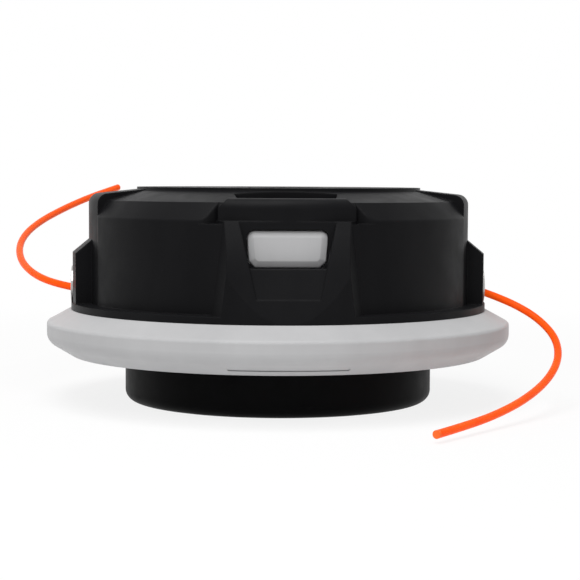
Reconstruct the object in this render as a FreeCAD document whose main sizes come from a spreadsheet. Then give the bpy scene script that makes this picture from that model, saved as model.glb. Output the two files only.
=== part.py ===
import FreeCAD, Part
import math
import os

import Sketcher

# Bump feed trimmer head. Millimetres, +Z up along the drive axis, origin under the middle of the
# bump knob, on the surface the head stands on. The line eyelets lie on X, the latches on Y.
SIZES = {
    # Lower cover: a ring that latches into the housing and holds the spool in
    "cover_radius": 75.0,
    "cover_bottom": 15.3,
    "ring_undercut": 7.8,
    "cover_side_low": 20.0,
    "cover_side_high": 25.8,
    "cover_wall": 3.0,
    "cover_round": 4.0,
    "cover_edge": 1.0,
    "cover_rib_width": 1.6,
    "cover_rib_count": 12,
    "groove_span": 29.0,
    "groove_height": 0.8,
    "groove_lift": 1.5,
    "groove_depth": 0.5,
    "spigot_wall": 3.0,
    "spigot_rise": 3.6,
    "lip_height": 21.0,
    "lip_thickness": 3.2,
    # Housing
    "seat_height": 29.8,
    "ring_reach": 7.8,
    "flange_thickness": 2.2,
    "flange_reach": 7.7,
    "wall": 2.7,
    "top_height": 69.1,
    "roof_thickness": 5.6,
    "shoulder_width": 13.5,
    "plateau_step": 1.0,
    "panel_stand_out": 2.5,
    "panel_bevel_height": 5.3,
    "panel_top_drop": 4.2,
    "panel_bevel_depth": 4.0,
    "panel_start": 20.0,
    "panel_end": 72.5,
    "panel_end_bevel": 3.3,
    "panel_bevel_reach": 1.4,
    "panel_hollow_margin": 10.0,
    "panel_round": 0.9,
    "panel_end_round": 4.5,
    "cheek_half_angle": 6.0,
    "bridge_drop": 2.9,
    "bridge_round": 3.0,
    "bridge_half_top": 17.4,
    "bridge_slant": 4.2,
    "tower_half_angle": 21.2,
    "tower_drop": 2.35,
    "tower_back_drop": 0.6,
    "tower_stand_out": 2.0,
    "tower_round": 3.4,
    "lug_stand_out": 7.2,
    "lug_rise": 11.1,
    "lug_slope_rise": 4.3,
    "lug_half_angle": 14.0,
    "buttress_drop": 9.6,
    "knee_drop": 9.5,
    "knee_stand_out": 4.1,
    "knee_round": 50.0,
    "facet_half_front": 18.4,
    "facet_half_back": 24.0,
    "facet_back": 5.0,
    "facet_lean": 3.2,
    "channel_half_top": 14.2,
    "channel_half_foot": 9.3,
    "channel_rise": 7.2,
    "sill_depth": 0.9,
    "sill_foot_depth": 0.25,
    "top_pocket_half_width": 15.4,
    "top_pocket_depth": 1.6,
    "top_pocket_taper": 1.0,
    "window_height": 11.2,
    "window_drop": 12.1,
    "window_half_top": 12.2,
    "window_half_bottom": 11.5,
    "window_corner": 1.8,
    "window_round": 2.4,
    "button_gap": 0.3,
    # Drive: hub post, hexagon nut with its thread and the recess above it
    "post_radius": 11.0,
    "post_bottom": 15.2,
    "boss_radius": 13.6,
    "boss_drop": 9.5,
    "shaft_bore_radius": 5.2,
    "nut_width": 17.0,
    "nut_thickness": 10.0,
    "nut_chamfer": 0.8,
    "thread_radius": 4.35,
    "recess_radius": 15.0,
    "recess_depth": 2.9,
    # Line eyelets
    "eyelet_rise": 7.2,
    "eyelet_radius": 6.5,
    "eyelet_flange": 1.4,
    "eyelet_stand_out": 0.4,
    "eyelet_tube_radius": 4.6,
    "eyelet_bore_radius": 3.0,
    "eyelet_mouth_radius": 5.2,
    # Latch tongues
    "latch_thickness": 2.2,
    "latch_half_width": 12.4,
    "latch_drop": 11.1,
    "latch_inset": 0.3,
    "latch_bevel": 1.8,
    "latch_bevel_depth": 0.7,
    "latch_room_depth": 6.6,
    # Bump knob and spool
    "lip_width": 2.8,
    "knob_wall": 2.6,
    "knob_floor": 4.0,
    "knob_round": 3.6,
    "knob_dish_radius": 24.0,
    "knob_dish_depth": 1.0,
    "boss_height": 8.0,
    "screw_circle": 33.0,
    "screw_count": 3,
    "screw_radius": 2.0,
    "screw_length": 15.0,
    "screw_head_radius": 3.7,
    "screw_head_height": 2.8,
    "screw_drive_depth": 1.7,
    "screw_seat": 4.5,
    "pillar_radius": 4.8,
    "spool_gap": 1.1,
    "spool_step": 3.0,
    "spool_flange": 2.0,
    "spool_core_radius": 21.0,
    "chamber_share": 0.44,
    "spool_drop": 18.5,
    "spool_hub_bottom": 14.4,
    "spool_hub_radius": 15.0,
    "well_radius": 17.4,
    # Index lugs: a lower ring on cover and spool, an upper ring on spool and housing
    "lug_count": 8,
    "index_angle": 10.0,
    "lower_lug_height": 2.9,
    "upper_lug_height": 3.0,
    "index_pitch_start": 22.5,
    "lower_lug_lead": 15.0,
    "upper_lug_lead": 13.0,
    "upper_lug_width": 8.0,
    "upper_lug_inset": 3.3,
    "bump_travel": 7.0,
    # Spring and its washer
    "spring_radius": 15.4,
    "spring_wire_radius": 1.0,
    "spring_turns": 6,
    "washer_thickness": 1.2,
    # Nylon line
    "line_radius": 1.2,
    "winding_depth": 5.3,
    # Clearances
    "running_gap": 0.1,
    "seat_gap": 0.2,
    "side_gap": 0.4,
    "knob_gap": 0.8,
    "fit_gap": 0.05,
    # How far cuts and joined features run past a face, and how far out the side cuts begin
    "overrun": 1.0,
    "side_cut_start": 13.0,
}

# Two places closer than this are the same place
TOUCH = 1e-3

# Straight steps in each half of a pocket's curved front
FRONT_STEPS = 3

# Share of the shorter run at a bend of the line that its arc takes up
ARC_SHARE = 0.45

# The free line ends, from inside each eyelet to the cut tip, for an eyelet whose wall is this far out and up
ROUTE_WALL = 66.7
ROUTE_HEIGHT = 37.0
LINE_ROUTES = {
    "line_end_right": [
        (58.5, 0.0, 36.6), (64.5, 0.0, 35.9), (70.5, -0.6, 34.0), (78.8, -3.0, 30.5),
        (85.1, -8.2, 26.3), (88.6, -17.0, 21.1), (87.1, -28.0, 15.5), (80.9, -40.5, 10.5),
        (71.5, -54.5, 6.7), (60.5, -68.5, 4.2), (49.5, -82.0, 3.0), (39.0, -95.0, 2.5),
    ],
    "line_end_left": [
        (-58.5, 0.0, 36.0), (-64.5, 0.0, 36.0), (-70.5, 2.2, 36.9), (-77.3, 8.8, 38.4),
        (-82.8, 18.6, 40.6), (-87.0, 30.5, 43.6), (-89.1, 44.0, 47.6), (-88.2, 58.0, 51.8),
        (-84.4, 72.0, 55.7), (-78.9, 86.5, 59.2), (-72.3, 100.5, 62.6), (-65.6, 113.5, 65.5),
        (-58.7, 126.0, 68.0),
    ],
}


class Size:
    """A number together with the expression that ties it to the sheet."""

    def __init__(self, value, text):
        self.value = value
        self.text = text

    def __add__(self, other):
        other = as_size(other)
        return Size(self.value + other.value, f"({self.text} + {other.text})")

    def __sub__(self, other):
        other = as_size(other)
        return Size(self.value - other.value, f"({self.text} - {other.text})")

    def __mul__(self, other):
        other = as_size(other)
        return Size(self.value * other.value, f"({self.text} * {other.text})")

    def __truediv__(self, other):
        other = as_size(other)
        return Size(self.value / other.value, f"({self.text} / {other.text})")

    def __neg__(self):
        return Size(-self.value, f"(-1 * {self.text})")

    __radd__ = __add__
    __rmul__ = __mul__


def as_size(number):
    return number if isinstance(number, Size) else Size(number, repr(number))


def cosine(angle):
    return Size(math.cos(math.radians(angle.value)), f"cos({angle.text})")


def sine(angle):
    return Size(math.sin(math.radians(angle.value)), f"sin({angle.text})")


def root(number):
    return Size(math.sqrt(number.value), f"sqrt({number.text})")


def polar(radius, angle):
    """A point of a plan view, with the angle in degrees from +X."""
    return (radius * cosine(angle), radius * sine(angle))


class Sizes:
    """The sheet's values by name."""

    def __init__(self, sheet, values):
        for row, (alias, value) in enumerate(values.items(), 1):
            sheet.set(f"A{row}", alias)
            sheet.set(f"B{row}", str(value))
            sheet.setAlias(f"B{row}", alias)
            setattr(self, alias, Size(value, f"sizes.{alias}"))


doc = FreeCAD.newDocument("trimmer_head")
sheet = doc.addObject("Spreadsheet::Sheet", "sizes")
s = Sizes(sheet, SIZES)
doc.recompute()

# Radii that several pieces share, from the ring inwards
flange_radius = s.cover_radius - s.ring_reach
cover_bottom_radius = s.cover_radius - s.ring_undercut
drum_radius = flange_radius - s.flange_reach
plateau_radius = drum_radius - s.shoulder_width
panel_radius = drum_radius + s.panel_stand_out
tower_radius = drum_radius + s.tower_stand_out
lug_radius = drum_radius + s.lug_stand_out
buttress_knee_depth = drum_radius + s.knee_stand_out
facet_back_depth = drum_radius - s.facet_back
cavity_radius = drum_radius - s.wall
spigot_outer = cavity_radius - s.side_gap
spigot_inner = spigot_outer - s.spigot_wall
opening_radius = spigot_inner - s.lip_width
knob_radius = opening_radius - s.knob_gap
lower_lug_inner = opening_radius + s.side_gap
spool_lower_radius = spigot_inner - s.spool_gap
spool_radius = spool_lower_radius - s.spool_step
winding_radius = spool_radius - s.winding_depth
upper_lug_outer = spool_radius - s.upper_lug_inset
upper_lug_inner = upper_lug_outer - s.upper_lug_width
latch_outer = cavity_radius - s.side_gap - s.fit_gap
latch_inner = latch_outer - s.latch_thickness
latch_axis = latch_outer - s.latch_thickness / 2

# Heights that several pieces share, up from the seat or down from the top
flange_top = s.seat_height + s.flange_thickness
channel_foot = s.seat_height + s.channel_rise
eyelet_height = s.seat_height + s.eyelet_rise
lug_slope_foot = eyelet_height + s.lug_rise
lug_slope_top = lug_slope_foot + s.lug_slope_rise
panel_bevel_top = s.top_height - s.panel_top_drop
panel_bevel_foot = panel_bevel_top - s.panel_bevel_height
bridge_height = s.top_height - s.bridge_drop
tower_height = s.top_height - s.tower_drop
buttress_top = s.top_height - s.buttress_drop
buttress_knee = buttress_top - s.knee_drop
window_top = s.top_height - s.window_drop
window_bottom = window_top - s.window_height
latch_top = s.top_height - s.latch_drop
latch_root = s.lip_height + s.side_gap
roof_under = s.top_height - s.roof_thickness
recess_floor = s.top_height - s.recess_depth
nut_top = recess_floor - s.seat_gap
nut_bottom = nut_top - s.nut_thickness
spool_lug_bottom = s.lip_height + s.seat_gap
spool_bottom = s.lip_height + s.lower_lug_height + s.side_gap
spool_lower_top = spool_bottom + s.spool_flange
spool_upper = s.top_height - s.spool_drop
spool_upper_top = spool_upper + s.spool_flange
spool_middle = spool_lower_top + (spool_upper - spool_lower_top) * s.chamber_share
well_floor = spool_middle - s.spool_flange / 2
panel_middle = (s.panel_start + s.panel_end) / 2


def new_body(name):
    body = doc.addObject("PartDesign::Body", name)
    body.Label = name
    return body


def new_sketch(body, name, plane, lift=None, rise=None, turn=None):
    """A sketch on one of the body's own planes: lifted off it, moved up it or turned about +Z."""
    sketch = body.newObject("Sketcher::SketchObject", name)
    origin_plane = next(p for p in body.Origin.OriginFeatures if p.Role == plane)
    sketch.AttachmentSupport = (origin_plane, [""])
    sketch.MapMode = "FlatFace"
    if lift is not None:
        sketch.setExpression("AttachmentOffset.Base.z", lift.text)
    if rise is not None:
        sketch.setExpression("AttachmentOffset.Base.y", rise.text)
    if turn is not None:
        about_z = FreeCAD.Rotation(FreeCAD.Vector(0, 1, 0), turn.value)
        sketch.AttachmentOffset = FreeCAD.Placement(FreeCAD.Vector(), about_z)
        sketch.setExpression("AttachmentOffset.Rotation.Angle", turn.text)
    return sketch


def tie(sketch, rules):
    """Add rules to a sketch, each a constraint and the size that drives it."""
    numbers = sketch.addConstraint([rule for rule, _ in rules])
    for number, (_, amount) in zip(numbers, rules):
        if amount is not None:
            sketch.setExpression(f"Constraints[{number}]", amount.text)


def held_at(line, point, place):
    """Rules that hold one point of a sketch at its place in the sheet."""
    return [
        (Sketcher.Constraint(kind, -1, 1, line, point, amount.value), amount)
        for kind, amount in zip(("DistanceX", "DistanceY"), map(as_size, place))
    ]


def outline(sketch, corners):
    """A closed outline of straight lines through the corners."""
    first = sketch.GeometryCount
    count = len(corners)
    places = [FreeCAD.Vector(as_size(x).value, as_size(y).value, 0) for x, y in corners]
    sides = zip(places, places[1:] + places[:1])
    sketch.addGeometry([Part.LineSegment(start, end) for start, end in sides], False)
    rules = []
    for step, corner in enumerate(corners):
        following = first + (step + 1) % count
        rules.append((Sketcher.Constraint("Coincident", first + step, 2, following, 1), None))
        rules += held_at(first + step, 1, corner)
    tie(sketch, rules)


def circle(sketch, centre, radius):
    place = FreeCAD.Vector(as_size(centre[0]).value, as_size(centre[1]).value, 0)
    number = sketch.addGeometry(Part.Circle(place, FreeCAD.Vector(0, 0, 1), radius.value), False)
    size_rule = (Sketcher.Constraint("Radius", number, radius.value), radius)
    tie(sketch, held_at(number, 3, centre) + [size_rule])


def revolve(body, name, corners, kind="Revolution", span=None, turn=None):
    """Turn a profile of (radius, height) corners about +Z, all round or over a span about its plane."""
    sketch = new_sketch(body, f"{name}_profile", "XZ_Plane", turn=turn)
    outline(sketch, corners)
    feature = body.newObject(f"PartDesign::{kind}", name)
    feature.Profile = sketch
    feature.ReferenceAxis = (sketch, ["V_Axis"])
    if span is not None:
        feature.Midplane = True
        feature.setExpression("Angle", span.text)
    doc.recompute()
    return feature


def extrude(body, name, sketch, length, kind="Pad", symmetric=False, reverse=False):
    feature = body.newObject(f"PartDesign::{kind}", name)
    feature.Profile = sketch
    feature.setExpression("Length", as_size(length).text)
    feature.Reversed = reverse
    if symmetric:
        feature.SideType = "Symmetric"
    doc.recompute()
    return feature


def repeat(body, name, original, count):
    """Copies of a feature, or of several, evenly spaced about +Z."""
    pattern = body.newObject("PartDesign::PolarPattern", name)
    pattern.Originals = original if isinstance(original, list) else [original]
    pattern.Axis = (next(a for a in body.Origin.OriginFeatures if a.Role == "Z_Axis"), [""])
    pattern.Angle = 360
    if isinstance(count, Size):
        pattern.setExpression("Occurrences", count.text)
    else:
        pattern.Occurrences = count
    body.Tip = pattern
    doc.recompute()
    return pattern


def dress(body, name, amount, chosen, kind="Fillet"):
    """Round or chamfer the edges of the body's newest shape that the test picks."""
    base = body.Tip
    names = [f"Edge{number}" for number, edge in enumerate(base.Shape.Edges, 1) if chosen(edge)]
    feature = body.newObject(f"PartDesign::{kind}", name)
    feature.Base = (base, names)
    feature.setExpression("Radius" if kind == "Fillet" else "Size", amount.text)
    doc.recompute()
    return feature


def ring_edge(radius, height):
    """A test for the edge that runs round +Z at this radius and height."""

    def chosen(edge):
        points = edge.discretize(5)
        level = all(abs(point.z - height.value) < TOUCH for point in points)
        return level and all(abs(math.hypot(point.x, point.y) - radius.value) < TOUCH for point in points)

    return chosen


def panel_end(edge):
    """A test for the upright edges at the ends of the panels' faces."""
    ends = [vertex.Point for vertex in edge.Vertexes]
    on_face = all(abs(math.hypot(end.x, end.y) - panel_radius.value) < TOUCH for end in ends)
    rise = max(end.z for end in ends) - min(end.z for end in ends)
    return on_face and rise > s.panel_bevel_height.value


def knee_edge(edge):
    """A test for the edge where the buttresses' slope meets their front."""
    ends = [vertex.Point for vertex in edge.Vertexes]
    level = all(abs(end.z - buttress_knee.value) < TOUCH for end in ends)
    return level and all(abs(abs(end.y) - buttress_knee_depth.value) < TOUCH for end in ends)


def arc_sector(inner, outer, middle):
    """Corners of an index lug in plan, about its middle angle: a sector with straight sides."""
    start = middle - s.index_angle / 2
    end = middle + s.index_angle / 2
    return [polar(inner, start), polar(outer, start), polar(outer, end), polar(inner, end)]


def hexagon(width, middle=0):
    """Corners of a hexagon, given across its flats."""
    corner = width / 2 / cosine(as_size(30))
    places = [polar(corner, as_size(60 * step)) for step in range(6)]
    return [(middle + x, y) for x, y in places]


def window_corners(gap):
    """The latch window's outline, or the button's inside it by the gap: lower corners cut off."""
    top = s.window_half_top - gap
    foot = s.window_half_bottom - gap
    low = window_bottom + gap
    high = window_top - gap
    cut = s.window_corner
    return [
        (-top, high), (-foot, low + cut), (cut - foot, low),
        (foot - cut, low), (foot, low + cut), (top, high),
    ]


def upper_corner(gap):
    """A test for the upper corners of the latch window, or of the button inside it by the gap."""
    side = s.window_half_top - gap
    high = window_top - gap

    def chosen(edge):
        ends = [vertex.Point for vertex in edge.Vertexes]
        at_side = all(abs(abs(end.x) - side.value) < TOUCH for end in ends)
        straight_in = abs(ends[0].x - ends[-1].x) < TOUCH
        return at_side and straight_in and all(abs(end.z - high.value) < TOUCH for end in ends)

    return chosen


def at_x(edge, place):
    """Whether a circular edge lies across X at this place."""
    return isinstance(edge.Curve, Part.Circle) and abs(edge.Curve.Center.x - place.value) < TOUCH


def along_x(edge, height):
    """Whether an edge runs along X at this height."""
    ends = [vertex.Point for vertex in edge.Vertexes]
    level = all(abs(end.z - height.value) < TOUCH for end in ends)
    return level and abs(ends[0].y - ends[-1].y) < TOUCH


def in_plane_y(edge, place):
    """Whether an edge lies in the plane across Y at this place."""
    return all(abs(vertex.Point.y - place) < TOUCH for vertex in edge.Vertexes)


def make_housing():
    """Moulded upper housing: drum, four raised panels, eyelet towers, latch buttresses and hub post."""
    body = new_body("housing")
    bevel_radius = panel_radius - s.panel_bevel_depth
    bevel_slope = (panel_bevel_top - panel_bevel_foot) / s.panel_bevel_depth
    step_height = s.top_height - s.plateau_step
    drum_shoulder = panel_bevel_foot + (panel_radius - drum_radius) * bevel_slope
    inside = drum_radius - s.wall * 2
    below_seat = s.seat_height - s.overrun
    front = flange_radius + s.side_cut_start
    revolve(body, "drum", [
        (0, s.seat_height), (flange_radius, s.seat_height), (flange_radius, flange_top),
        (drum_radius, flange_top), (drum_radius, drum_shoulder), (bevel_radius, panel_bevel_top),
        (plateau_radius, step_height), (plateau_radius, s.top_height), (0, s.top_height),
    ])
    bridge_foot = panel_bevel_foot - s.wall
    bridge_half_foot = s.bridge_half_top + s.bridge_slant
    bridge_outline = new_sketch(body, "bridge_outline", "XZ_Plane", lift=plateau_radius)
    outline(bridge_outline, [
        (-bridge_half_foot, bridge_foot), (bridge_half_foot, bridge_foot),
        (bridge_half_foot, bridge_height - s.bridge_slant), (s.bridge_half_top, bridge_height),
        (-s.bridge_half_top, bridge_height), (-bridge_half_foot, bridge_height - s.bridge_slant),
    ])
    bridge = extrude(body, "bridge", bridge_outline, s.shoulder_width + s.wall)
    repeat(body, "bridges", bridge, 2)
    revolve(body, "bridge_trim", [
        (drum_radius, bridge_foot - s.overrun), (front, bridge_foot - s.overrun),
        (front, s.top_height), (drum_radius, s.top_height),
    ], kind="Groove")
    dress(body, "bridge_rounding", s.bridge_round, ring_edge(drum_radius, bridge_height))
    span = s.panel_end - s.panel_start
    panel_foot = s.seat_height + s.flange_thickness / 2
    panel_sides = (("left", panel_middle + 90), ("right", as_size(90) - panel_middle))
    for side, turn in panel_sides:
        panel = revolve(body, f"panel_{side}", [
            (inside, panel_foot), (panel_radius, panel_foot), (panel_radius, panel_bevel_foot),
            (bevel_radius, panel_bevel_top), (inside, panel_bevel_top),
        ], span=span, turn=turn)
        repeat(body, f"panels_{side}", panel, 2)
    bevels = new_sketch(body, "panel_end_bevels", "XY_Plane", lift=s.top_height)
    for quarter in (0, 180):
        for sign in (1, -1):
            for edge, lean in ((s.panel_start, 1), (s.panel_end, -1)):
                foot = polar(bevel_radius - s.seat_gap, edge * sign + quarter - 90)
                rim = polar(panel_radius, (edge + s.panel_end_bevel * lean) * sign + quarter - 90)
                past = tuple(near + (far - near) * s.panel_bevel_reach for near, far in zip(foot, rim))
                outside = polar(panel_radius + s.wall, edge * sign + quarter - 90)
                outline(bevels, [foot, past, outside])
    extrude(body, "panel_end_cuts", bevels, s.top_height - flange_top, kind="Pocket")
    dress(body, "panel_end_rounding", s.panel_end_round, panel_end)
    dress(body, "panel_rounding", s.panel_round, ring_edge(panel_radius, panel_bevel_foot))
    cheek_top = panel_bevel_foot - s.panel_round
    for side, turn in (("left", s.panel_start + 90), ("right", as_size(90) - s.panel_start)):
        cheek = revolve(body, f"cheek_{side}", [
            (inside, panel_foot), (panel_radius, panel_foot), (panel_radius, cheek_top), (inside, cheek_top),
        ], span=s.cheek_half_angle * 2, turn=turn)
        repeat(body, f"cheeks_{side}", cheek, 2)
    rise = buttress_top - s.seat_height
    halves = []
    for sign, side in ((1, "right"), (-1, "left")):
        foot = new_sketch(body, f"buttress_{side}_outline", "XY_Plane", lift=s.seat_height)
        outline(foot, [
            (0, -facet_back_depth), (s.facet_half_back * sign, -facet_back_depth),
            (s.facet_half_front * sign, -flange_radius), (0, -flange_radius),
        ])
        half = extrude(body, f"buttress_{side}", foot, rise)
        half.UseCustomVector = True
        half.AlongSketchNormal = True
        half.Direction = FreeCAD.Vector(0, 0, 1)
        half.setExpression("Direction.x", (s.facet_lean / rise * -sign).text)
        doc.recompute()
        halves.append(half)
    repeat(body, "buttresses", halves, 2)
    slope = new_sketch(body, "buttress_slope_outline", "YZ_Plane")
    outline(slope, [
        (-drum_radius, buttress_top), (-buttress_knee_depth, buttress_knee),
        (-flange_radius, s.seat_height), (-front, s.seat_height), (-front, buttress_top),
    ])
    slope_width = s.facet_half_back * 2
    sloped = extrude(body, "buttress_slope", slope, slope_width, kind="Pocket", symmetric=True)
    repeat(body, "buttress_slopes", sloped, 2)
    dress(body, "knee_rounding", s.knee_round, knee_edge)
    revolve(body, "buttress_trim", [
        (flange_radius, below_seat), (front, below_seat),
        (front, buttress_top), (flange_radius, buttress_top),
    ], kind="Groove")
    tower_back = plateau_radius - s.overrun
    tower = revolve(body, "tower", [
        (inside, s.seat_height), (tower_radius, s.seat_height), (tower_radius, tower_height),
        (tower_back, s.top_height - s.tower_back_drop), (tower_back, step_height - s.wall),
        (inside, step_height - s.wall),
    ], span=s.tower_half_angle * 2)
    repeat(body, "towers", tower, 2)
    dress(body, "tower_rounding", s.tower_round, ring_edge(tower_radius, tower_height))
    lug = revolve(body, "lug", [
        (inside, s.seat_height), (lug_radius, s.seat_height), (lug_radius, lug_slope_foot),
        (tower_radius, lug_slope_top), (inside, lug_slope_top),
    ], span=s.lug_half_angle * 2)
    repeat(body, "lugs", lug, 2)
    channel_outline = new_sketch(body, "channel_outline", "XZ_Plane", lift=front)
    outline(channel_outline, [
        (-s.channel_half_foot, channel_foot), (s.channel_half_foot, channel_foot),
        (s.channel_half_top, buttress_top), (-s.channel_half_top, buttress_top),
    ])
    channel = extrude(body, "channel", channel_outline, front - drum_radius, kind="Pocket")
    repeat(body, "channels", channel, 2)
    front_slope = (flange_radius - buttress_knee_depth) / (buttress_knee - s.seat_height)
    sill_back = s.wall / 2 - drum_radius
    sill_brow = buttress_knee_depth + (buttress_knee - window_bottom) * front_slope - s.sill_depth
    sill_foot = buttress_knee_depth + (buttress_knee - channel_foot) * front_slope - s.sill_foot_depth
    sill_outline = new_sketch(body, "sill_outline", "YZ_Plane")
    outline(sill_outline, [
        (-sill_brow, window_bottom), (-sill_foot, channel_foot),
        (sill_back, channel_foot), (sill_back, window_bottom),
    ])
    sill = extrude(body, "sill", sill_outline, s.channel_half_foot + s.channel_half_top, symmetric=True)
    repeat(body, "sills", sill, 2)
    cavity_shoulder = roof_under - s.wall
    revolve(body, "cavity", [
        (0, below_seat), (cavity_radius, below_seat), (cavity_radius, cavity_shoulder),
        (cavity_radius - s.wall, roof_under), (0, roof_under),
    ], kind="Groove")
    hollow_radius = panel_radius - s.wall
    hollow_top = panel_bevel_foot - s.wall / 2
    for side, turn in panel_sides:
        hollow = revolve(body, f"panel_hollow_{side}", [
            (inside, below_seat), (hollow_radius, below_seat),
            (hollow_radius, hollow_top), (inside, hollow_top),
        ], kind="Groove", span=span - s.panel_hollow_margin, turn=turn)
        repeat(body, f"panel_hollows_{side}", hollow, 2)
    latch_room = new_sketch(body, "latch_room_outline", "XZ_Plane", lift=latch_outer + s.side_gap)
    half_room = s.latch_half_width + s.side_gap * 2
    room_top = latch_top + s.side_gap * 2
    outline(latch_room, [
        (-half_room, below_seat), (half_room, below_seat), (half_room, room_top), (-half_room, room_top),
    ])
    room = extrude(body, "latch_room", latch_room, s.latch_room_depth, kind="Pocket")
    repeat(body, "latch_rooms", room, 2)
    window = new_sketch(body, "window_outline", "XZ_Plane", lift=front)
    outline(window, window_corners(as_size(0)))
    opening = extrude(body, "window", window, front - latch_inner, kind="Pocket")
    repeat(body, "windows", opening, 2)
    dress(body, "window_rounding", s.window_round, upper_corner(as_size(0)))
    pocket = new_sketch(body, "top_pocket_outline", "XY_Plane", lift=s.top_height)
    pocket_far = plateau_radius + s.seat_gap
    pocket_near = drum_radius - s.bridge_round - s.top_pocket_taper
    narrow = s.top_pocket_half_width - s.top_pocket_taper
    corners = [(-s.top_pocket_half_width, -pocket_far), (s.top_pocket_half_width, -pocket_far)]
    for step in range(FRONT_STEPS, -FRONT_STEPS - 1, -1):
        across = narrow * step / FRONT_STEPS
        corners.append((across, -root(pocket_near * pocket_near - across * across)))
    outline(pocket, corners)
    pocket_reach = s.top_height - bridge_height + s.top_pocket_depth
    sunk = extrude(body, "top_pocket", pocket, pocket_reach, kind="Pocket")
    repeat(body, "top_pockets", sunk, 2)
    in_roof = roof_under + s.overrun
    boss_bottom = roof_under - s.boss_drop
    revolve(body, "hub", [
        (0, s.post_bottom), (s.post_radius, s.post_bottom), (s.post_radius, boss_bottom),
        (s.boss_radius, boss_bottom), (s.boss_radius, in_roof), (0, in_roof),
    ])
    stops = new_sketch(body, "upper_stop_outline", "XY_Plane", lift=in_roof)
    outline(stops, arc_sector(upper_lug_inner, upper_lug_outer, as_size(0)))
    drop = in_roof - (spool_upper_top + s.bump_travel + s.side_gap)
    stop = extrude(body, "upper_stop", stops, drop, reverse=True)
    repeat(body, "upper_stops", stop, s.lug_count)
    recess = new_sketch(body, "recess_outline", "XY_Plane", lift=s.top_height)
    circle(recess, (0, 0), s.recess_radius)
    extrude(body, "recess", recess, s.recess_depth, kind="Pocket")
    socket = new_sketch(body, "nut_socket_outline", "XY_Plane", lift=s.top_height)
    outline(socket, hexagon(s.nut_width + s.fit_gap * 2))
    extrude(body, "nut_socket", socket, s.top_height - nut_bottom, kind="Pocket")
    bore = new_sketch(body, "shaft_bore_outline", "XY_Plane", lift=s.top_height)
    circle(bore, (0, 0), s.shaft_bore_radius)
    extrude(body, "shaft_bore", bore, s.top_height, kind="Pocket")
    for sign, side in ((1, "right"), (-1, "left")):
        seat = new_sketch(body, f"eyelet_seat_{side}_outline", "YZ_Plane", lift=front * sign)
        circle(seat, (0, eyelet_height), s.eyelet_radius + s.fit_gap)
        seat_depth = front - lug_radius + s.eyelet_flange - s.eyelet_stand_out
        extrude(body, f"eyelet_seat_{side}", seat, seat_depth, kind="Pocket", reverse=sign < 0)
        hole = new_sketch(body, f"eyelet_hole_{side}_outline", "YZ_Plane", lift=front * sign)
        circle(hole, (0, eyelet_height), s.eyelet_tube_radius + s.fit_gap)
        extrude(body, f"eyelet_hole_{side}", hole, front - inside, kind="Pocket", reverse=sign < 0)


def make_nut():
    """Steel hexagon insert whose left-hand thread takes the drive shaft."""
    body = new_body("arbor_nut")
    sketch = new_sketch(body, "nut_outline", "XY_Plane", lift=nut_bottom)
    outline(sketch, hexagon(s.nut_width))
    extrude(body, "nut_blank", sketch, s.nut_thickness)
    bore = new_sketch(body, "nut_bore_outline", "XY_Plane", lift=nut_top)
    circle(bore, (0, 0), s.thread_radius)
    extrude(body, "nut_bore", bore, s.nut_thickness + s.overrun, kind="Pocket")
    dress(body, "nut_mouth", s.nut_chamfer, ring_edge(s.thread_radius, nut_top), kind="Chamfer")


def make_eyelet(name, turn):
    """Pressed metal eyelet with a flared mouth that guides the line through the wall."""
    body = new_body(name)
    seat = lug_radius - (s.eyelet_flange - s.eyelet_stand_out)
    mouth = lug_radius + s.eyelet_stand_out
    tail = cavity_radius + s.seat_gap
    flare = s.eyelet_mouth_radius - s.eyelet_bore_radius
    sketch = new_sketch(body, f"{name}_profile", "XZ_Plane", rise=eyelet_height)
    outline(sketch, [
        (tail, s.eyelet_bore_radius), (mouth - flare, s.eyelet_bore_radius),
        (mouth - flare / 3, s.eyelet_bore_radius + flare / 3), (mouth, s.eyelet_mouth_radius),
        (mouth, s.eyelet_radius), (seat, s.eyelet_radius),
        (seat, s.eyelet_tube_radius), (tail, s.eyelet_tube_radius),
    ])
    feature = body.newObject("PartDesign::Revolution", f"{name}_turned")
    feature.Profile = sketch
    feature.ReferenceAxis = (sketch, ["H_Axis"])
    doc.recompute()
    rim_radius = s.eyelet_radius.value - TOUCH
    rim_round = s.eyelet_stand_out / 2
    dress(body, f"{name}_rim", rim_round, lambda edge: at_x(edge, mouth) and edge.Curve.Radius > rim_radius)
    body.Placement = FreeCAD.Placement(FreeCAD.Vector(), FreeCAD.Rotation(FreeCAD.Vector(0, 0, 1), turn))


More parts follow.
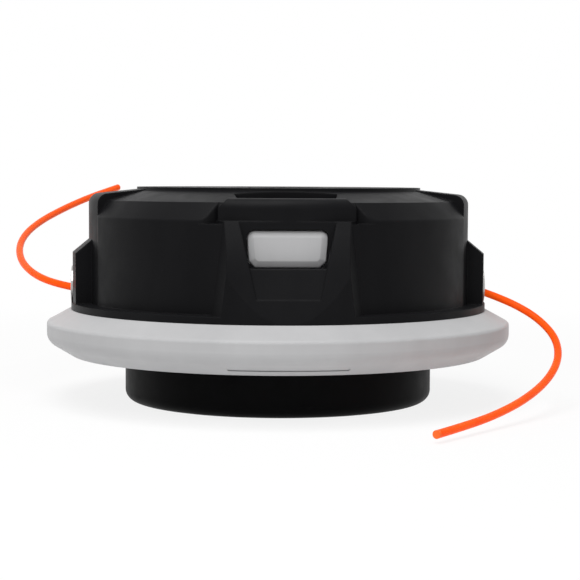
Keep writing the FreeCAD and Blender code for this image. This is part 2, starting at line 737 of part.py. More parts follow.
def make_cover():
    """Pale moulded ring with a spigot that enters the housing and an inner lip that carries the spool."""
    body = new_body("lower_cover")
    rim_inner = cover_bottom_radius - s.cover_wall
    seat_under = s.seat_height - s.cover_wall
    revolve(body, "ring", [
        (opening_radius, s.lip_height - s.lip_thickness), (spigot_outer, s.lip_height - s.lip_thickness),
        (spigot_outer, seat_under), (rim_inner, seat_under), (rim_inner, s.cover_bottom),
        (cover_bottom_radius, s.cover_bottom), (s.cover_radius, s.cover_side_low),
        (s.cover_radius, s.cover_side_high), (flange_radius + s.side_gap, s.seat_height),
        (spigot_outer, s.seat_height), (spigot_outer, s.seat_height + s.spigot_rise),
        (spigot_inner, s.seat_height + s.spigot_rise), (spigot_inner, s.lip_height),
        (opening_radius, s.lip_height),
    ])
    dress(body, "ring_lower_rounding", s.cover_round, ring_edge(s.cover_radius, s.cover_side_low))
    dress(body, "ring_rim_rounding", s.cover_edge, ring_edge(cover_bottom_radius, s.cover_bottom))
    dress(body, "ring_upper_rounding", s.cover_edge, ring_edge(s.cover_radius, s.cover_side_high))
    ribs = new_sketch(body, "rib_outline", "XY_Plane", lift=seat_under)
    half = s.cover_rib_width / 2
    rib_foot = spigot_outer - s.spigot_wall / 2
    rib_end = rim_inner + s.cover_wall / 2
    outline(ribs, [(rib_foot, -half), (rib_end, -half), (rib_end, half), (rib_foot, half)])
    rib = extrude(body, "rib", ribs, seat_under - s.cover_bottom - s.cover_wall, reverse=True)
    repeat(body, "ribs", rib, s.cover_rib_count)
    slot = new_sketch(body, "latch_slot_outline", "XY_Plane", lift=s.seat_height + s.spigot_rise)
    half_slot = s.latch_half_width + s.side_gap
    slot_near = -(latch_outer + s.side_gap)
    slot_far = s.latch_thickness - latch_inner
    outline(slot, [
        (-half_slot, slot_far), (half_slot, slot_far), (half_slot, slot_near), (-half_slot, slot_near),
    ])
    cut = extrude(body, "latch_slot", slot, s.seat_height + s.spigot_rise - s.lip_height, kind="Pocket")
    repeat(body, "latch_slots", cut, 2)
    flare = (s.cover_radius - cover_bottom_radius) / (s.cover_side_low - s.cover_bottom)
    groove_low = s.cover_bottom + s.groove_lift
    groove_high = groove_low + s.groove_height
    near_low = cover_bottom_radius + flare * s.groove_lift
    near_high = near_low + flare * s.groove_height
    relief = revolve(body, "rim_groove", [
        (near_low - s.groove_depth, groove_low), (near_low + s.overrun, groove_low),
        (near_high + s.overrun, groove_high), (near_high - s.groove_depth, groove_high),
    ], kind="Groove", span=s.groove_span, turn=as_size(90))
    repeat(body, "rim_grooves", relief, 2)
    stops = new_sketch(body, "lower_stop_outline", "XY_Plane", lift=s.lip_height - s.overrun)
    outline(stops, arc_sector(lower_lug_inner, spigot_inner + s.overrun, s.index_pitch_start))
    stop = extrude(body, "lower_stop", stops, s.lower_lug_height + s.overrun)
    repeat(body, "lower_stops", stop, s.lug_count)


def make_latch(name, turn):
    """Springy tongue that rises from the cover's lip, with the bevelled button that shows in the window."""
    body = new_body(name)
    tongue = new_sketch(body, "tongue_outline", "YZ_Plane")
    outline(tongue, [
        (-latch_outer, latch_root), (-latch_inner, latch_root),
        (-latch_inner, latch_top), (-latch_outer, latch_top),
    ])
    extrude(body, "tongue", tongue, s.latch_half_width * 2, symmetric=True)
    root_round = s.latch_thickness / 2 - s.fit_gap
    dress(body, "root_rounding", root_round, lambda edge: along_x(edge, latch_root))
    button = new_sketch(body, "button_outline", "XZ_Plane", lift=latch_axis)
    outline(button, window_corners(s.button_gap))
    face = drum_radius - s.latch_inset
    extrude(body, "button", button, face - latch_axis)
    dress(body, "button_rounding", s.window_round - s.button_gap, upper_corner(s.button_gap))
    bevel = dress(
        body, "button_bevel", s.latch_bevel, lambda edge: in_plane_y(edge, -face.value), kind="Chamfer",
    )
    bevel.ChamferType = "Two distances"
    bevel.FlipDirection = True
    bevel.setExpression("Size2", s.latch_bevel_depth.text)
    doc.recompute()
    body.Placement = FreeCAD.Placement(FreeCAD.Vector(), FreeCAD.Rotation(FreeCAD.Vector(0, 0, 1), turn))


def make_knob():
    """Smooth bump knob: a cup that is tapped on the ground, screwed to the spool from below."""
    body = new_body("bump_knob")
    inner = knob_radius - s.knob_wall
    revolve(body, "cup", [
        (0, s.knob_dish_depth), (s.knob_dish_radius, s.knob_dish_depth),
        (s.knob_dish_radius + s.knob_dish_depth, 0), (knob_radius, 0), (knob_radius, spool_bottom),
        (inner, spool_bottom), (inner, s.knob_floor), (0, s.knob_floor),
    ])
    dress(body, "cup_rounding", s.knob_round, ring_edge(knob_radius, as_size(0)))
    dress(body, "cup_inner_rounding", s.knob_wall, ring_edge(inner, s.knob_floor))
    boss = new_sketch(body, "boss_outline", "XY_Plane", lift=s.knob_floor - s.knob_dish_depth)
    circle(boss, (s.screw_circle, 0), s.pillar_radius)
    raised = extrude(body, "boss", boss, s.boss_height - s.knob_floor + s.knob_dish_depth)
    repeat(body, "bosses", raised, s.screw_count)
    hole = new_sketch(body, "screw_hole_outline", "XY_Plane", lift=s.boss_height)
    circle(hole, (s.screw_circle, 0), s.screw_radius + s.seat_gap)
    drilled = extrude(body, "screw_hole", hole, s.boss_height, kind="Pocket")
    repeat(body, "screw_holes", drilled, s.screw_count)
    sink = new_sketch(body, "screw_sink_outline", "XY_Plane", lift=s.screw_seat)
    circle(sink, (s.screw_circle, 0), s.screw_head_radius + s.seat_gap)
    bored = extrude(body, "screw_sink", sink, s.screw_seat, kind="Pocket")
    repeat(body, "screw_sinks", bored, s.screw_count)


def make_screws():
    """The screws that hold the knob, their heads sunk in its underside."""
    body = new_body("knob_screws")
    body.AllowCompound = True
    head_outline = new_sketch(body, "head_outline", "XY_Plane", lift=s.screw_seat)
    circle(head_outline, (s.screw_circle, 0), s.screw_head_radius)
    head = extrude(body, "head", head_outline, s.screw_head_height, reverse=True)
    shank_outline = new_sketch(body, "shank_outline", "XY_Plane", lift=s.screw_seat)
    circle(shank_outline, (s.screw_circle, 0), s.screw_radius)
    shank = extrude(body, "shank", shank_outline, s.screw_length)
    drive_outline = new_sketch(body, "drive_outline", "XY_Plane", lift=s.screw_seat - s.screw_head_height)
    outline(drive_outline, hexagon(s.screw_radius * 2, s.screw_circle))
    drive = extrude(body, "drive", drive_outline, s.screw_drive_depth, kind="Pocket", reverse=True)
    repeat(body, "screws", [head, shank, drive], s.screw_count)


def make_spool():
    """Two-chamber line spool that slides and turns on the hub post."""
    body = new_body("line_spool")
    bore = s.post_radius + s.running_gap
    middle_top = spool_middle + s.spool_flange
    revolve(body, "reel", [
        (bore, s.spool_hub_bottom), (s.spool_hub_radius, s.spool_hub_bottom),
        (s.spool_hub_radius, spool_bottom), (spool_lower_radius, spool_bottom),
        (spool_lower_radius, spool_lower_top), (s.spool_core_radius, spool_lower_top),
        (s.spool_core_radius, spool_middle), (spool_radius, spool_middle),
        (spool_radius, middle_top), (s.spool_core_radius, middle_top),
        (s.spool_core_radius, spool_upper), (spool_radius, spool_upper),
        (spool_radius, spool_upper_top), (s.well_radius, spool_upper_top),
        (s.well_radius, well_floor), (bore, well_floor),
    ])
    pillar = new_sketch(body, "pillar_outline", "XY_Plane", lift=s.boss_height)
    circle(pillar, (s.screw_circle, 0), s.pillar_radius)
    post = extrude(body, "pillar", pillar, spool_lower_top - s.boss_height)
    repeat(body, "pillars", post, s.screw_count)
    pilot = new_sketch(body, "pilot_outline", "XY_Plane", lift=s.boss_height)
    circle(pilot, (s.screw_circle, 0), s.screw_radius + s.fit_gap)
    pilot_depth = s.screw_seat + s.screw_length + s.overrun - s.boss_height
    drilled = extrude(body, "pilot", pilot, pilot_depth, kind="Pocket", reverse=True)
    repeat(body, "pilots", drilled, s.screw_count)
    notch = new_sketch(body, "line_notch_outline", "XY_Plane", lift=middle_top)
    half_notch = s.line_radius * 2
    notch_end = spool_radius + s.overrun
    outline(notch, [
        (winding_radius, -half_notch), (notch_end, -half_notch),
        (notch_end, half_notch), (winding_radius, half_notch),
    ])
    cut = extrude(body, "line_notch", notch, s.spool_flange, kind="Pocket")
    repeat(body, "line_notches", cut, 2)
    lower = new_sketch(body, "lower_lug_outline", "XY_Plane", lift=spool_lug_bottom)
    lead = s.index_pitch_start + s.lower_lug_lead
    outline(lower, arc_sector(lower_lug_inner, spool_lower_radius - s.seat_gap, lead))
    lug = extrude(body, "lower_lug", lower, spool_lower_top - spool_lug_bottom)
    repeat(body, "lower_lugs", lug, s.lug_count)
    upper = new_sketch(body, "upper_lug_outline", "XY_Plane", lift=spool_upper)
    outline(upper, arc_sector(upper_lug_inner, upper_lug_outer, -s.upper_lug_lead))
    lug = extrude(body, "upper_lug", upper, s.spool_flange + s.upper_lug_height)
    repeat(body, "upper_lugs", lug, s.lug_count)


def make_washer():
    """Flat steel washer that lets the spool turn under the spring."""
    body = new_body("spring_washer")
    sketch = new_sketch(body, "washer_outline", "XY_Plane", lift=well_floor + s.running_gap)
    circle(sketch, (0, 0), s.well_radius - s.side_gap)
    circle(sketch, (0, 0), s.post_radius + s.side_gap)
    extrude(body, "washer", sketch, s.washer_thickness)


def make_spring():
    """Round-wire compression spring between the washer and the housing roof."""
    body = new_body("bump_spring")
    foot = well_floor + s.running_gap + s.washer_thickness
    sketch = new_sketch(body, "wire_section", "XZ_Plane")
    circle(sketch, (s.spring_radius, foot + s.spring_wire_radius), s.spring_wire_radius)
    coil = body.newObject("PartDesign::AdditiveHelix", "coil")
    coil.Profile = sketch
    coil.ReferenceAxis = (sketch, ["V_Axis"])
    coil.Mode = "height-turns-angle"
    coil.setExpression("Height", (roof_under - foot - s.spring_wire_radius * 2).text)
    coil.setExpression("Turns", s.spring_turns.text)
    doc.recompute()


def make_winding(name, bottom, top):
    """The line wound in one chamber of the spool, its outer turns showing as ridges."""
    body = new_body(name)
    core = s.spool_core_radius + s.fit_gap
    low = bottom + s.fit_gap
    high = top - s.fit_gap
    turns = int((high.value - low.value) / (2 * s.line_radius.value))
    pitch = (high - low) / turns
    valley = winding_radius - s.line_radius / 2
    corners = [(core, high), (core, low)]
    for turn in range(turns):
        start = low + pitch * turn
        corners.append((valley, start))
        corners.append((winding_radius, start + pitch / 4))
        corners.append((winding_radius, start + pitch * 3 / 4))
    corners.append((valley, high))
    revolve(body, "turns", corners)


def make_line_end(name, route):
    """Free end of the nylon line: straight runs joined by the largest tangent arcs they leave room for."""
    outwards = math.copysign(lug_radius.value - ROUTE_WALL, route[0][0])
    shift = FreeCAD.Vector(outwards, 0, eyelet_height.value - ROUTE_HEIGHT)
    points = [FreeCAD.Vector(*point) + shift for point in route]
    edges = []
    length = 0.0
    at = points[0]
    for before, corner, after in zip(points, points[1:], points[2:]):
        back = (before - corner).normalize()
        ahead = (after - corner).normalize()
        half_turn = (math.pi - back.getAngle(ahead)) / 2
        tangent = ARC_SHARE * min((before - corner).Length, (after - corner).Length)
        radius = tangent / math.tan(half_turn)
        start = corner + back * tangent
        end = corner + ahead * tangent
        middle = corner + (back + ahead).normalize() * (radius / math.cos(half_turn) - radius)
        edges.append(Part.LineSegment(at, start).toShape())
        edges.append(Part.Arc(start, middle, end).toShape())
        length += edges[-1].Length + edges[-2].Length
        print(f"{name}: arc radius {radius:.1f} mm")
        at = end
    edges.append(Part.LineSegment(at, points[-1]).toShape())
    length += edges[-1].Length
    path = Part.Wire(edges)
    section = Part.Wire(Part.makeCircle(s.line_radius.value, points[0], points[1] - points[0]))
    shape = path.makePipeShell([section], True, False)
    ideal = math.pi * s.line_radius.value ** 2 * length
    print(f"{name}: {length:.1f} mm long, volume {shape.Volume:.1f} of {ideal:.1f} cubic mm")
    feature = doc.addObject("Part::Feature", name)
    feature.Label = name
    feature.Shape = shape
    feature.Placement = FreeCAD.Placement()


def check_and_write(pieces):
    """Write every piece once the whole document has come out sound."""
    doc.recompute()
    faults = [item.Name for item in doc.Objects if {"Invalid", "Error"} & set(item.State)]
    faults += [item.Label for item in pieces if item.Shape.isNull() or not item.Shape.isValid()]
    if faults:
        raise RuntimeError(f"these came out wrong: {faults}")
    os.makedirs("parts", exist_ok=True)
    for item in pieces:
        item.Shape.exportStep(f"parts/{item.Label}.step")
        print(f"{item.Label}: {len(item.Shape.Solids)} solid, {item.Shape.Volume / 1000:.2f} cubic cm")


make_housing()
make_nut()
make_eyelet("eyelet_right", 0)
make_eyelet("eyelet_left", 180)
make_cover()
make_latch("latch_tab_front", 0)
make_latch("latch_tab_rear", 180)
make_knob()
make_spool()
make_washer()
make_spring()
make_winding("line_winding_lower", spool_lower_top, spool_middle)
make_winding("line_winding_upper", spool_middle + s.spool_flange, spool_upper)
make_screws()
for line_name, line_route in LINE_ROUTES.items():
    make_line_end(line_name, line_route)
check_and_write([item for item in doc.Objects if item.TypeId in ("PartDesign::Body", "Part::Feature")])
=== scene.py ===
import bpy
import math
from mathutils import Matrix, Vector


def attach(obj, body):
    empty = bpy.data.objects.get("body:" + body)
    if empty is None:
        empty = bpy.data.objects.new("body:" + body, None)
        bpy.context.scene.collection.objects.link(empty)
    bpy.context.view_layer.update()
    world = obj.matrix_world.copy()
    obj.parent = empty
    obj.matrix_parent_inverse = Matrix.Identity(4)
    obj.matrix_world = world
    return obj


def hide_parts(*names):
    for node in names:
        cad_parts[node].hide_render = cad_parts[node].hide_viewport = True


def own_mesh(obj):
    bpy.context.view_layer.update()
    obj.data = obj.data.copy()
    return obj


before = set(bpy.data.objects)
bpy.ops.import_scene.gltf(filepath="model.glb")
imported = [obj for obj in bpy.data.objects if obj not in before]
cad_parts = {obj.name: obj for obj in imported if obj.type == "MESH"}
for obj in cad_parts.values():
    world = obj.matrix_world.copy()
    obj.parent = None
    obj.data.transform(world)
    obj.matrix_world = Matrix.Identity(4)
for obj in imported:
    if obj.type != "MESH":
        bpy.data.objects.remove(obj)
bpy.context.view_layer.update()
bpy.ops.object.select_all(action="DESELECT")


# Housing: the moulded drum that spins with the drive shaft and holds everything else.
# Black glass-filled nylon, injection moulded in one piece with a fine spark-eroded grain,
# its edges slightly rounded by the mould.
HOUSING_BLACK = (0.005, 0.005, 0.0057, 1.0)
HOUSING_STREAK = (0.0075, 0.0075, 0.0083, 1.0)
SHEEN_RANGE = 0.05
WAVE_DEPTH = 0.00012


def new_material(name):
    """An empty material with its surface shader and output."""
    material = bpy.data.materials.new(name)
    material.use_nodes = True
    nodes = material.node_tree.nodes
    return material, nodes, material.node_tree.links, nodes["Principled BSDF"]


def noise(nodes, links, scale, detail, roughness=0.5, stretch=None):
    """A noise pattern that stays on the piece, drawn out along its axes where stretch is given."""
    place = nodes.new("ShaderNodeTexCoord")
    pattern = nodes.new("ShaderNodeTexNoise")
    pattern.inputs["Scale"].default_value = scale
    pattern.inputs["Detail"].default_value = detail
    pattern.inputs["Roughness"].default_value = roughness
    source = place.outputs["Object"]
    if stretch is not None:
        mapping = nodes.new("ShaderNodeMapping")
        mapping.inputs["Scale"].default_value = stretch
        links.new(source, mapping.inputs["Vector"])
        source = mapping.outputs["Vector"]
    links.new(source, pattern.inputs["Vector"])
    return pattern.outputs["Fac"]


def spread(nodes, links, pattern, low, high):
    """Stretch the middle of a pattern over a range of values."""
    limits = nodes.new("ShaderNodeMapRange")
    limits.inputs["From Min"].default_value = 0.3
    limits.inputs["From Max"].default_value = 0.7
    limits.inputs["To Min"].default_value = low
    limits.inputs["To Max"].default_value = high
    links.new(pattern, limits.inputs["Value"])
    return limits.outputs["Result"]


def two_tones(nodes, links, shader, pattern, dark, light):
    """Surface colour that wanders between two tones of one material."""
    mix = nodes.new("ShaderNodeMix")
    mix.data_type = "RGBA"
    mix.inputs["A"].default_value = dark
    mix.inputs["B"].default_value = light
    links.new(spread(nodes, links, pattern, 0.0, 1.0), mix.inputs["Factor"])
    links.new(mix.outputs["Result"], shader.inputs["Base Color"])


def uneven_sheen(nodes, links, shader, pattern, low, high):
    """Roughness that wanders between two values."""
    links.new(spread(nodes, links, pattern, low, high), shader.inputs["Roughness"])


def bumped(nodes, links, shader, height, depth, under=None):
    """Relief of a given depth in metres, on top of another relief if there is one."""
    relief = nodes.new("ShaderNodeBump")
    relief.inputs["Distance"].default_value = depth
    relief.inputs["Strength"].default_value = 1.0
    links.new(height, relief.inputs["Height"])
    if under is not None:
        links.new(under, relief.inputs["Normal"])
    links.new(relief.outputs["Normal"], shader.inputs["Normal"])
    return relief.outputs["Normal"]


def moulded_nylon(name, dark, light, roughness, specular, grain_depth, edge_round):
    """Injection-moulded nylon: flow streaks, uneven sheen, soft edges, slight waves and a mould grain."""
    material, nodes, links, shader = new_material(name)
    streaks = noise(nodes, links, scale=55.0, detail=4.0, roughness=0.6, stretch=(1.0, 1.0, 0.35))
    two_tones(nodes, links, shader, streaks, dark, light)
    patches = noise(nodes, links, scale=140.0, detail=5.0, roughness=0.6)
    uneven_sheen(nodes, links, shader, patches, roughness - SHEEN_RANGE, roughness + SHEEN_RANGE)
    shader.inputs["Specular IOR Level"].default_value = specular
    edges = nodes.new("ShaderNodeBevel")
    edges.inputs["Radius"].default_value = edge_round
    waves = noise(nodes, links, scale=60.0, detail=2.0)
    wavy = bumped(nodes, links, shader, waves, WAVE_DEPTH, under=edges.outputs["Normal"])
    grain = noise(nodes, links, scale=2600.0, detail=2.0)
    bumped(nodes, links, shader, grain, grain_depth, under=wavy)
    return material


def dress_node(name, material):
    """Give a solid its finish, in place of the plain one."""
    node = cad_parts[name]
    node.data.materials.clear()
    node.data.materials.append(material)


housing_nylon = moulded_nylon(
    "housing_nylon", HOUSING_BLACK, HOUSING_STREAK,
    roughness=0.45, specular=0.06, grain_depth=0.00003, edge_round=0.0006,
)
dress_node("housing", housing_nylon)


# Drive nut: a zinc-plated steel hexagon, moulded into the housing's roof.
# The gearbox shaft screws into its left-hand thread.
ZINC = (0.62, 0.61, 0.58, 1.0)
DULL_SHARE = 0.8
SCRATCH_DEPTH = 0.00001


def plated_steel(name, colour, roughness):
    """Zinc-plated steel: cloudy sheen and fine drawn scratches."""
    material, nodes, links, shader = new_material(name)
    shader.inputs["Metallic"].default_value = 1.0
    clouds = noise(nodes, links, scale=220.0, detail=4.0, roughness=0.6)
    dull = tuple(channel * DULL_SHARE for channel in colour[:3]) + (1.0,)
    two_tones(nodes, links, shader, clouds, dull, colour)
    patches = noise(nodes, links, scale=300.0, detail=4.0, roughness=0.6)
    uneven_sheen(nodes, links, shader, patches, roughness - 0.07, roughness + 0.09)
    scratches = noise(nodes, links, scale=1500.0, detail=3.0, roughness=0.6, stretch=(1.0, 1.0, 6.0))
    bumped(nodes, links, shader, scratches, SCRATCH_DEPTH)
    return material


zinc_steel = plated_steel("zinc_steel", ZINC, roughness=0.32)
dress_node("arbor_nut", zinc_steel)


# Line eyelets: bright metal bushes pressed into the towers.
# Their flared mouths keep the spinning line from sawing through the nylon.
EYELET_GREY = (0.5, 0.49, 0.48, 1.0)
eyelet_metal = plated_steel("eyelet_metal", EYELET_GREY, roughness=0.25)
dress_node("eyelet_right", eyelet_metal)
dress_node("eyelet_left", eyelet_metal)


# Guard ring and latches: the lower cover, snapped into the housing by two springy tongues.
# Pale grey-white nylon, moulded smooth, with the tongues' bevelled buttons in the housing's windows.
COVER_SHADE = (0.46, 0.46, 0.467, 1.0)
COVER_PALE = (0.51, 0.51, 0.517, 1.0)
cover_nylon = moulded_nylon(
    "cover_nylon", COVER_SHADE, COVER_PALE,
    roughness=0.42, specular=0.15, grain_depth=0.000012, edge_round=0.0005,
)
dress_node("lower_cover", cover_nylon)
dress_node("latch_tab_front", cover_nylon)
dress_node("latch_tab_rear", cover_nylon)


# Bump knob: the smooth black cup that is tapped on the ground.
# Tough unfilled nylon, darker than the housing, held to the spool by three plated screws.
KNOB_BLACK = (0.0028, 0.0028, 0.003, 1.0)
KNOB_STREAK = (0.004, 0.004, 0.0043, 1.0)
knob_nylon = moulded_nylon(
    "knob_nylon", KNOB_BLACK, KNOB_STREAK,
    roughness=0.45, specular=0.035, grain_depth=0.00002, edge_round=0.0005,
)
dress_node("bump_knob", knob_nylon)
dress_node("knob_screws", zinc_steel)


# Spool: the moulded reel inside, which slides and turns on the housing's hub post.
# Dark nylon, with two chambers of wound line.
SPOOL_GREY = (0.035, 0.035, 0.037, 1.0)
SPOOL_STREAK = (0.05, 0.05, 0.052, 1.0)
spool_nylon = moulded_nylon(
    "spool_nylon", SPOOL_GREY, SPOOL_STREAK,
    roughness=0.45, specular=0.3, grain_depth=0.00001, edge_round=0.0004,
)
dress_node("line_spool", spool_nylon)


# Cutting line: extruded nylon monofilament, bright orange and slightly see-through; the free ends and their
# cut tips carry a painted glow that keeps their shaded sides bright.
# It is wound in the spool's two chambers and leaves the housing through the eyelets,
# outside which both ends are cut off.
LINE_DIAMETER = 0.0024
LINE_ORANGE = (1.0, 0.105, 0.006, 1.0)
LINE_DEEP = (0.95, 0.075, 0.004, 1.0)
LINE_CUT = (1.0, 0.2, 0.05, 1.0)
SKIN_DEPTH = 0.00001
CUT_LENGTH = 0.0008
CUT_BURR = 0.00002
RIGHT_ROUTE = [
    (0.0585, 0.0, 0.0366), (0.0645, 0.0, 0.0359), (0.0705, -0.0006, 0.034), (0.0788, -0.003, 0.0305),
    (0.0851, -0.0082, 0.0263), (0.0886, -0.017, 0.0211), (0.0871, -0.028, 0.0155),
    (0.0809, -0.0405, 0.0105), (0.0715, -0.0545, 0.0067), (0.0605, -0.0685, 0.0042),
    (0.0495, -0.082, 0.003), (0.039, -0.095, 0.0025),
]
LEFT_ROUTE = [
    (-0.0585, 0.0, 0.036), (-0.0645, 0.0, 0.036), (-0.0705, 0.0022, 0.0369), (-0.0773, 0.0088, 0.0384),
    (-0.0828, 0.0186, 0.0406), (-0.087, 0.0305, 0.0436), (-0.0891, 0.044, 0.0476),
    (-0.0882, 0.058, 0.0518), (-0.0844, 0.072, 0.0557), (-0.0789, 0.0865, 0.0592),
    (-0.0723, 0.1005, 0.0626), (-0.0656, 0.1135, 0.0655), (-0.0587, 0.126, 0.068),
]


def extruded_line(name, light, deep, painted_glow, wound=False):
    """Coloured nylon line with a painted glow in its light colour; where wound, with a round relief for every
    turn.
    """
    material, nodes, links, shader = new_material(name)
    two_tones(nodes, links, shader, noise(nodes, links, scale=120.0, detail=3.0), deep, light)
    uneven_sheen(nodes, links, shader, noise(nodes, links, scale=700.0, detail=3.0), 0.3, 0.42)
    shader.inputs["Specular IOR Level"].default_value = 0.06
    # painted glow: the light colour is emitted so that the shaded side of the line stays bright
    shader.inputs["Emission Color"].default_value = light
    shader.inputs["Emission Strength"].default_value = painted_glow
    skin = bumped(nodes, links, shader, noise(nodes, links, scale=900.0, detail=2.0), SKIN_DEPTH)
    if wound:
        place = nodes.new("ShaderNodeTexCoord")
        turns = nodes.new("ShaderNodeTexWave")
        turns.bands_direction = "Z"
        turns.inputs["Scale"].default_value = math.pi / (10.0 * LINE_DIAMETER)
        links.new(place.outputs["Object"], turns.inputs["Vector"])
        bumped(nodes, links, shader, turns.outputs["Fac"], LINE_DIAMETER / 2, under=skin)
    return material


# the free line and its cut tips carry a painted glow; the wound turns have none
line_nylon = extruded_line("line_nylon", LINE_ORANGE, LINE_DEEP, painted_glow=0.22)
cut_nylon = extruded_line("cut_nylon", LINE_CUT, LINE_ORANGE, painted_glow=0.1)
line_turns = extruded_line("line_turns", LINE_ORANGE, LINE_DEEP, painted_glow=0.0, wound=True)
dress_node("line_winding_lower", line_turns)
dress_node("line_winding_upper", line_turns)


def lay_line(name, node, route):
    """One free end of the line, from inside its eyelet to the cut tip."""
    curve = bpy.data.curves.new(name, "CURVE")
    curve.dimensions = "3D"
    spline = curve.splines.new("NURBS")
    spline.points.add(len(route) - 1)
    for point, place in zip(spline.points, route):
        point.co = (*place, 1.0)
    spline.order_u = 3
    spline.use_endpoint_u = True
    spline.resolution_u = 8
    curve.bevel_depth = LINE_DIAMETER / 2
    curve.bevel_resolution = 6
    curve.use_fill_caps = True
    line = bpy.data.objects.new(name, curve)
    bpy.context.scene.collection.objects.link(line)
    curve.materials.append(line_nylon)
    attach(line, "housing")
    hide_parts(node)
    end = Vector(route[-1])
    way = end - Vector(route[-2])
    bpy.ops.mesh.primitive_cylinder_add(
        vertices=32, radius=LINE_DIAMETER / 2 + CUT_BURR, depth=CUT_LENGTH,
        location=end - way.normalized() * (CUT_LENGTH / 2 - CUT_BURR),
        rotation=way.to_track_quat("Z", "Y").to_euler(),
    )
    tip = bpy.context.object
    tip.name = f"{name}_cut_end"
    bpy.ops.object.transform_apply(location=True, rotation=True, scale=True)
    bpy.ops.object.shade_smooth_by_angle()
    tip.data.materials.append(cut_nylon)
    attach(tip, "housing")


lay_line("cutting_line_right", "line_end_right", RIGHT_ROUTE)
lay_line("cutting_line_left", "line_end_left", LEFT_ROUTE)


# Bump spring and washer: round steel wire wound as a compression spring, which shortens as the knob
# is bumped, with a flat plated washer that lets the spool turn under it.
SPRING_GREY = (0.4, 0.4, 0.41, 1.0)
WIRE_RADIUS = 0.001
WIRE_SIDES = 16
COIL_RADIUS = 0.0154
COIL_STEPS = 40
SPRING_FOOT = 0.0373
SPRING_TOP = 0.06349
SPRING_TURNS = 6
dress_node("spring_washer", zinc_steel)
spring_wire = plated_steel("spring_wire", SPRING_GREY, roughness=0.35)
dress_node("bump_spring", spring_wire)
bpy.ops.mesh.primitive_circle_add(
    vertices=WIRE_SIDES, radius=WIRE_RADIUS, rotation=(math.pi / 2, 0.0, 0.0),
    location=(COIL_RADIUS, 0.0, SPRING_FOOT + WIRE_RADIUS),
)
coil = bpy.context.object
coil.name = "bump_spring_coil"
bpy.ops.object.transform_apply(location=True, rotation=True, scale=True)
turning = coil.modifiers.new("turning", "SCREW")
turning.iterations = SPRING_TURNS
turning.steps = COIL_STEPS
turning.render_steps = COIL_STEPS
turning.screw_offset = (SPRING_TOP - SPRING_FOOT - WIRE_RADIUS * 2) / SPRING_TURNS
bpy.ops.object.modifier_apply(modifier="turning")
bpy.ops.object.mode_set(mode="EDIT")
bpy.ops.mesh.select_all(action="SELECT")
bpy.ops.mesh.fill_holes(sides=WIRE_SIDES)
bpy.ops.mesh.normals_make_consistent(inside=False)
bpy.ops.object.mode_set(mode="OBJECT")
bpy.ops.object.shade_smooth_by_angle()
coil.data.materials.append(spring_wire)
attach(coil, "housing")
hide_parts("bump_spring")
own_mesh(coil)


# Studio: a pale floor, an even white surround, and soft light from above and from the front.
# The floor turns from shaded paint near the head to plain white further out, so that no horizon shows.
bpy.context.scene.view_settings.view_transform = "Standard"
SURROUND_WHITE = (1.0, 1.0, 1.0, 1.0)
AMBIENT_STRENGTH = 0.3
FLOOR_PAINT = (0.92, 0.92, 0.92, 1.0)
FLOOR_SIZE = 8.0
FLOOR_HEIGHT = -0.0001
FADE_START = 0.1
FADE_END = 0.4
WHITE_SHARE_NEAR = 0.85


def seen_directly(nodes, links):
    """One where the eye, a reflection or a see-through piece meets the surround, else nought."""
    path = nodes.new("ShaderNodeLightPath")
    mirrored = nodes.new("ShaderNodeMath")
    mirrored.operation = "MAXIMUM"
    links.new(path.outputs["Is Camera Ray"], mirrored.inputs[0])
    links.new(path.outputs["Is Glossy Ray"], mirrored.inputs[1])
    either = nodes.new("ShaderNodeMath")
    either.operation = "MAXIMUM"
    links.new(mirrored.outputs[0], either.inputs[0])
    links.new(path.outputs["Is Transmission Ray"], either.inputs[1])
    return either.outputs[0]


world = bpy.data.worlds.new("studio")
bpy.context.scene.world = world
world.use_nodes = True
air = world.node_tree.nodes
air_links = world.node_tree.links
ambient = air["Background"]
ambient.inputs["Color"].default_value = SURROUND_WHITE
ambient.inputs["Strength"].default_value = AMBIENT_STRENGTH
surround = air.new("ShaderNodeBackground")
surround.inputs["Color"].default_value = SURROUND_WHITE
surround.inputs["Strength"].default_value = 1.0
chosen = air.new("ShaderNodeMixShader")
air_links.new(seen_directly(air, air_links), chosen.inputs["Fac"])
air_links.new(ambient.outputs["Background"], chosen.inputs[1])
air_links.new(surround.outputs["Background"], chosen.inputs[2])
air_links.new(chosen.outputs["Shader"], air["World Output"].inputs["Surface"])

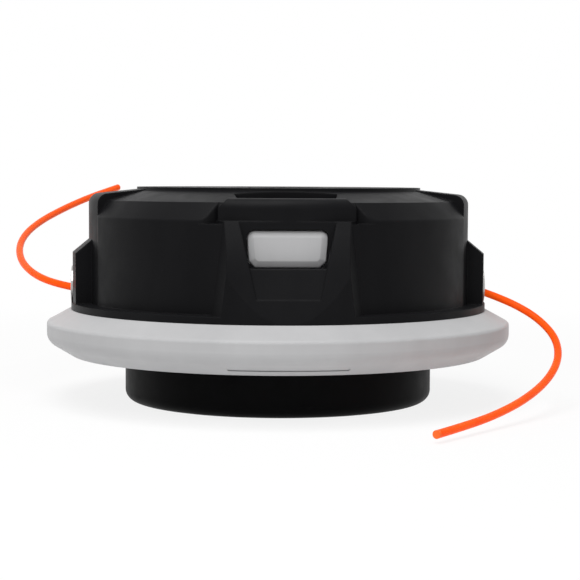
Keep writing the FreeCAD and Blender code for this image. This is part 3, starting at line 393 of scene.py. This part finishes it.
bpy.ops.mesh.primitive_plane_add(size=FLOOR_SIZE, location=(0.0, 0.0, FLOOR_HEIGHT))
floor = bpy.context.object
floor.name = "studio_floor"
floor_paint, paint, paint_links, matt = new_material("studio_floor")
matt.inputs["Base Color"].default_value = FLOOR_PAINT
matt.inputs["Roughness"].default_value = 1.0
matt.inputs["Specular IOR Level"].default_value = 0.0
white_sweep = paint.new("ShaderNodeEmission")
white_sweep.inputs["Color"].default_value = SURROUND_WHITE
white_sweep.inputs["Strength"].default_value = 1.0
spot = paint.new("ShaderNodeTexCoord")
away = paint.new("ShaderNodeVectorMath")
away.operation = "LENGTH"
paint_links.new(spot.outputs["Object"], away.inputs[0])
fading = paint.new("ShaderNodeMapRange")
fading.inputs["From Min"].default_value = FADE_START
fading.inputs["From Max"].default_value = FADE_END
fading.inputs["To Min"].default_value = WHITE_SHARE_NEAR
fading.inputs["To Max"].default_value = 1.0
paint_links.new(away.outputs["Value"], fading.inputs["Value"])
share = paint.new("ShaderNodeMath")
share.operation = "MULTIPLY"
paint_links.new(seen_directly(paint, paint_links), share.inputs[0])
paint_links.new(fading.outputs["Result"], share.inputs[1])
sweep = paint.new("ShaderNodeMixShader")
paint_links.new(share.outputs[0], sweep.inputs["Fac"])
paint_links.new(matt.outputs["BSDF"], sweep.inputs[1])
paint_links.new(white_sweep.outputs["Emission"], sweep.inputs[2])
paint_links.new(sweep.outputs["Shader"], paint["Material Output"].inputs["Surface"])
floor.data.materials.append(floor_paint)

LAMP_TARGET = (0.0, 0.0, 0.04)


def softbox(name, location, size, power):
    """A square diffused lamp that faces the middle of the head."""
    bpy.ops.object.light_add(type="AREA", location=location)
    lamp = bpy.context.object
    lamp.name = name
    lamp.data.shape = "SQUARE"
    lamp.data.size = size
    lamp.data.energy = power
    reach = [b - a for a, b in zip(location, LAMP_TARGET)]
    level = math.hypot(reach[0], reach[1])
    lamp.rotation_euler = (math.atan2(level, -reach[2]), 0.0, math.atan2(-reach[0], reach[1]))


softbox("overhead_softbox", (-0.1, -0.25, 0.9), size=0.5, power=5.0)
softbox("front_softbox", (-0.2, -0.62, 0.68), size=0.35, power=2.6)

# Camera: it stands a little above the ring, half a metre in front and slightly to the left.
CAMERA_PLACE = (-0.02463, -0.53945, 0.0723)
CAMERA_PITCH = 0.068
CAMERA_ROLL = -0.005
CAMERA_HEADING = -0.0524
CAMERA_LENS = 102.6
CAMERA_SENSOR = 36.0
bpy.ops.object.camera_add(
    location=CAMERA_PLACE, rotation=(math.pi / 2 - CAMERA_PITCH, CAMERA_ROLL, CAMERA_HEADING),
)
camera = bpy.context.object
camera.data.lens = CAMERA_LENS
camera.data.sensor_width = CAMERA_SENSOR
camera.data.clip_start = 0.01
camera.data.clip_end = 50.0
bpy.context.scene.camera = camera
